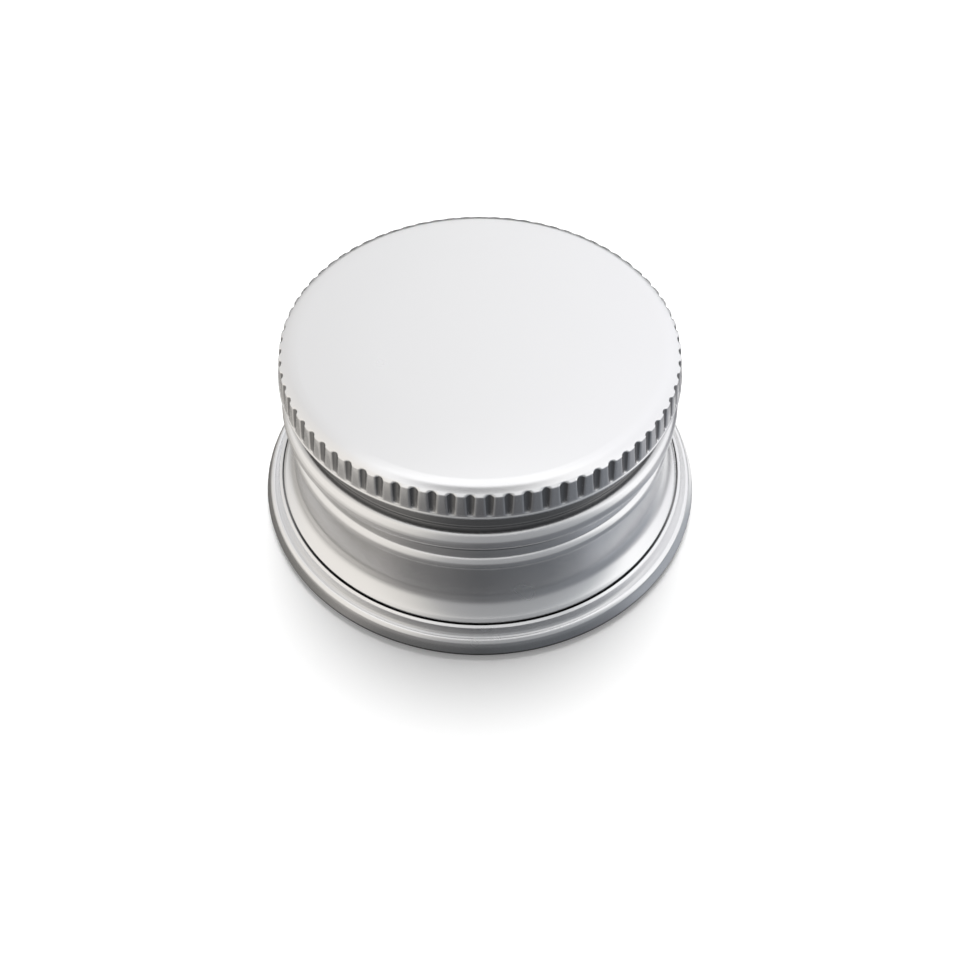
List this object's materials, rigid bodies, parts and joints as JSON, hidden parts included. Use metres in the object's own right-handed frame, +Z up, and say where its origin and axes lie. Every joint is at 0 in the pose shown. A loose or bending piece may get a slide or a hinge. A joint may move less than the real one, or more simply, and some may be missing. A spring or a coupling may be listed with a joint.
{
  "type": "metal screw cap",
  "caption": "Round aluminium screw cap with a knurled top band, a beaded neck, a flared flange, an inside thread and a foam sealing disc.",
  "frame": {"origin": "middle of the flat underside of the flange", "axes": "+Z up along the cap's axis, out of its top; -Y is the side that faces the viewer"},
  "size_m": [0.049, 0.049, 0.0217],
  "materials": {
    "aluminium": "turned and satin polished, clear and unpainted",
    "foam_liner": "white foamed polyethylene, smooth skin"
  },
  "bodies": {
    "root": {"cap_body": "aluminium", "sealing_liner": "foam_liner"}
  },
  "joints": []
}
